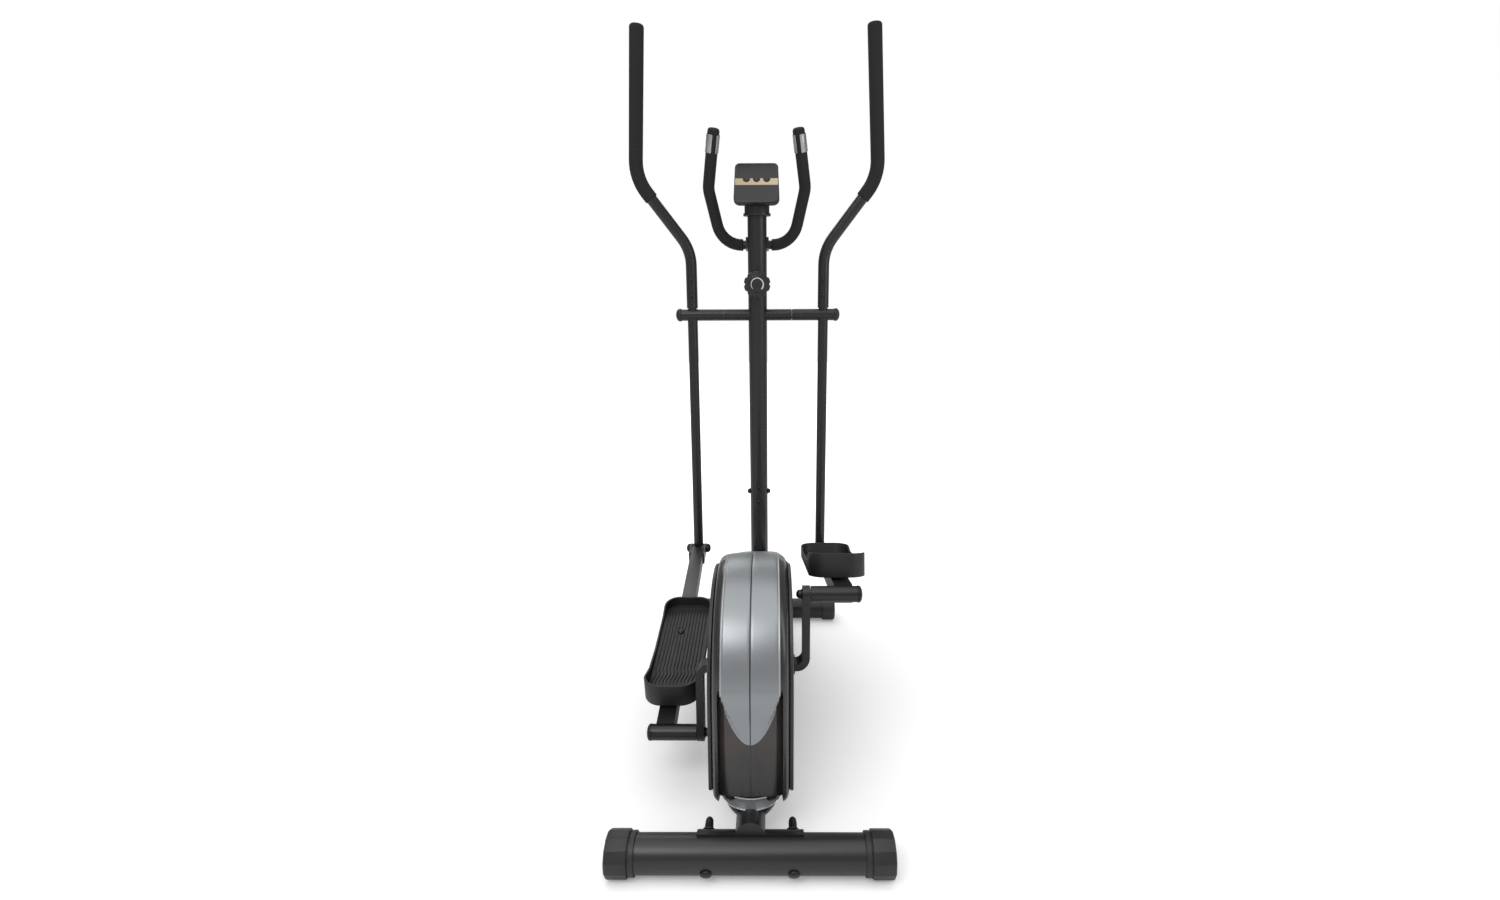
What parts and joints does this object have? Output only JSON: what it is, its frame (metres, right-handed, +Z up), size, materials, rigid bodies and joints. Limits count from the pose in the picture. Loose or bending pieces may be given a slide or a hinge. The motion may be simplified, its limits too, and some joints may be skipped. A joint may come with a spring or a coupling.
{
  "type": "elliptical trainer",
  "caption": "Upright elliptical trainer with swinging handles, crank-driven pedal tubes, fixed pulse grips, a small console and a belt-driven magnetic flywheel.",
  "frame": {"origin": "on the floor, in the middle of the machine's footprint", "axes": "+X to the user's right, +Y the way the user faces, +Z up"},
  "size_m": [0.6206, 1.021, 1.537],
  "materials": {
    "frame_paint": "satin black powder coat",
    "black_plastic": "fine-grained matt black",
    "silver_plastic": "metallic silver lacquer",
    "chrome_trim": "bright plated plastic",
    "gloss_black": "gloss black",
    "display_window": "clear grey window",
    "button_rubber": "soft black rubber",
    "wheel_rubber": "hard black rubber",
    "foam": "closed-cell foam",
    "black_zinc": "black zinc plated steel",
    "bright_steel": "ground steel",
    "sensor_metal": "satin plated plates",
    "pulley_plastic": "glass-filled nylon",
    "belt_rubber": "ribbed belt",
    "cast_iron": "machined cast iron",
    "cable_jacket": "black cable jacket"
  },
  "bodies": {
    "frame": {"main_frame": "frame_paint", "rear_stabiliser_tube": "frame_paint", "front_stabiliser_tube": "frame_paint", "front_cap_left": "black_plastic", "front_cap_right": "black_plastic", "stabiliser_bolts": "black_zinc", "front_post": "frame_paint", "post_bolts": "black_zinc", "pivot_axle": "bright_steel", "axle_caps": "black_plastic", "housing_left": "silver_plastic", "housing_right": "silver_plastic", "lower_shroud": "black_plastic", "crescent_trim": "chrome_trim", "side_cover_left": "black_plastic", "side_cover_right": "black_plastic", "housing_screws": "black_zinc", "console_case": "gloss_black", "console_lens": "display_window", "tension_cable": "cable_jacket", "fixed_handlebar": "frame_paint", "fixed_grip_left": "foam", "fixed_grip_right": "foam", "pulse_sensors": "sensor_metal", "bearings": "bright_steel", "drive_belt": "belt_rubber"},
    "crank": {"crank_axle": "bright_steel", "crank_arm_left": "frame_paint", "crank_arm_right": "frame_paint", "crank_nuts": "black_zinc", "drive_pulley": "pulley_plastic"},
    "flywheel_rotor": {"flywheel": "cast_iron", "flywheel_axle": "bright_steel"},
    "idler": {"idler_roller": "pulley_plastic"},
    "brake_magnets": {"magnet_bracket": "bright_steel"},
    "knob": {"tension_knob": "black_plastic"},
    "level_cap_left": {"rear_cap_left": "black_plastic"},
    "level_cap_right": {"rear_cap_right": "black_plastic"},
    "wheel_left": {"transport_wheel_left": "wheel_rubber"},
    "wheel_right": {"transport_wheel_right": "wheel_rubber"},
    "swing_left": {"swing_arm_left": "frame_paint", "handle_left": "frame_paint", "handle_grip_left": "foam", "handle_bolts_left": "black_zinc"},
    "swing_right": {"swing_arm_right": "frame_paint", "handle_right": "frame_paint", "handle_grip_right": "foam", "handle_bolts_right": "black_zinc"},
    "pedal_link_left": {"pedal_tube_left": "frame_paint", "pedal_left": "black_plastic", "pedal_bolts_left": "black_zinc", "pivot_bolts_left": "black_zinc"},
    "pedal_link_right": {"pedal_tube_right": "frame_paint", "pedal_right": "black_plastic", "pedal_bolts_right": "black_zinc", "pivot_bolts_right": "black_zinc"},
    "key_left": {"button_left": "button_rubber"},
    "key_middle": {"button_middle": "button_rubber"},
    "key_right": {"button_right": "button_rubber"}
  },
  "joints": [
    {"name": "crank_turn", "type": "hinge", "parent": "frame", "child": "crank", "pos_m": [0, -0.2895, 0.246], "axis": [-1, 0, 0], "range_deg": [0, 90]},
    {"name": "swing_left", "type": "hinge", "parent": "frame", "child": "swing_left", "pos_m": [-0.168, 0.3425, 0.884], "axis": [1, 0, 0], "range_deg": [-10.55, 0]},
    {"name": "swing_right", "type": "hinge", "parent": "frame", "child": "swing_right", "pos_m": [0.168, 0.3425, 0.884], "axis": [1, 0, 0], "range_deg": [0, 12.95]},
    {"name": "fork_left", "type": "hinge", "parent": "swing_left", "child": "pedal_link_left", "pos_m": [-0.168, 0.37698, 0.25094], "axis": [1, 0, 0], "range_deg": [-0.1048, 0]},
    {"name": "fork_right", "type": "hinge", "parent": "swing_right", "child": "pedal_link_right", "pos_m": [0.168, 0.37892, 0.25105], "axis": [1, 0, 0], "range_deg": [0, 0.1068]},
    {"name": "flywheel_spin", "type": "hinge", "parent": "frame", "child": "flywheel_rotor", "pos_m": [0, 0.1125, 0.185], "axis": [-1, 0, 0], "continuous": true},
    {"name": "idler_spin", "type": "hinge", "parent": "frame", "child": "idler", "pos_m": [0.046, -0.05425, 0.14458], "axis": [-1, 0, 0], "continuous": true},
    {"name": "tension_knob_turn", "type": "hinge", "parent": "frame", "child": "knob", "pos_m": [0, 0.33305, 0.961], "axis": [0, -0.9925, -0.1219], "range_deg": [0, 315]},
    {"name": "brake_bracket", "type": "hinge", "parent": "frame", "child": "brake_magnets", "pos_m": [0, 0.02349, 0.14904], "axis": [1, 0, 0], "range_deg": [0, 8]},
    {"name": "level_cap_left_turn", "type": "hinge", "parent": "frame", "child": "level_cap_left", "pos_m": [-0.202, -0.4775, 0.033], "axis": [1, 0, 0], "continuous": true},
    {"name": "transport_wheel_left_spin", "type": "hinge", "parent": "frame", "child": "wheel_left", "pos_m": [-0.203, 0.4925, 0.021], "axis": [1, 0, 0], "continuous": true},
    {"name": "level_cap_right_turn", "type": "hinge", "parent": "frame", "child": "level_cap_right", "pos_m": [0.202, -0.4775, 0.033], "axis": [1, 0, 0], "continuous": true},
    {"name": "transport_wheel_right_spin", "type": "hinge", "parent": "frame", "child": "wheel_right", "pos_m": [0.203, 0.4925, 0.021], "axis": [1, 0, 0], "continuous": true},
    {"name": "key_left_press", "type": "slide", "parent": "frame", "child": "key_left", "axis": [0, 0.9336, -0.3584], "range_m": [0, 0.001], "stiffness_N_per_m": 600},
    {"name": "key_middle_press", "type": "slide", "parent": "frame", "child": "key_middle", "axis": [0, 0.9336, -0.3584], "range_m": [0, 0.001], "stiffness_N_per_m": 600},
    {"name": "key_right_press", "type": "slide", "parent": "frame", "child": "key_right", "axis": [0, 0.9336, -0.3584], "range_m": [0, 0.001], "stiffness_N_per_m": 600}
  ],
  "couplings": [
    {"joint": "swing_left", "follows": "crank_turn", "ratio": -0.11727},
    {"joint": "swing_right", "follows": "crank_turn", "ratio": 0.14392},
    {"joint": "fork_left", "follows": "crank_turn", "ratio": -0.001164},
    {"joint": "fork_right", "follows": "crank_turn", "ratio": 0.001186},
    {"joint": "flywheel_spin", "follows": "crank_turn", "ratio": 3.7556},
    {"joint": "idler_spin", "follows": "crank_turn", "ratio": -6.0345},
    {"joint": "brake_bracket", "follows": "tension_knob_turn", "ratio": 0.025397}
  ]
}
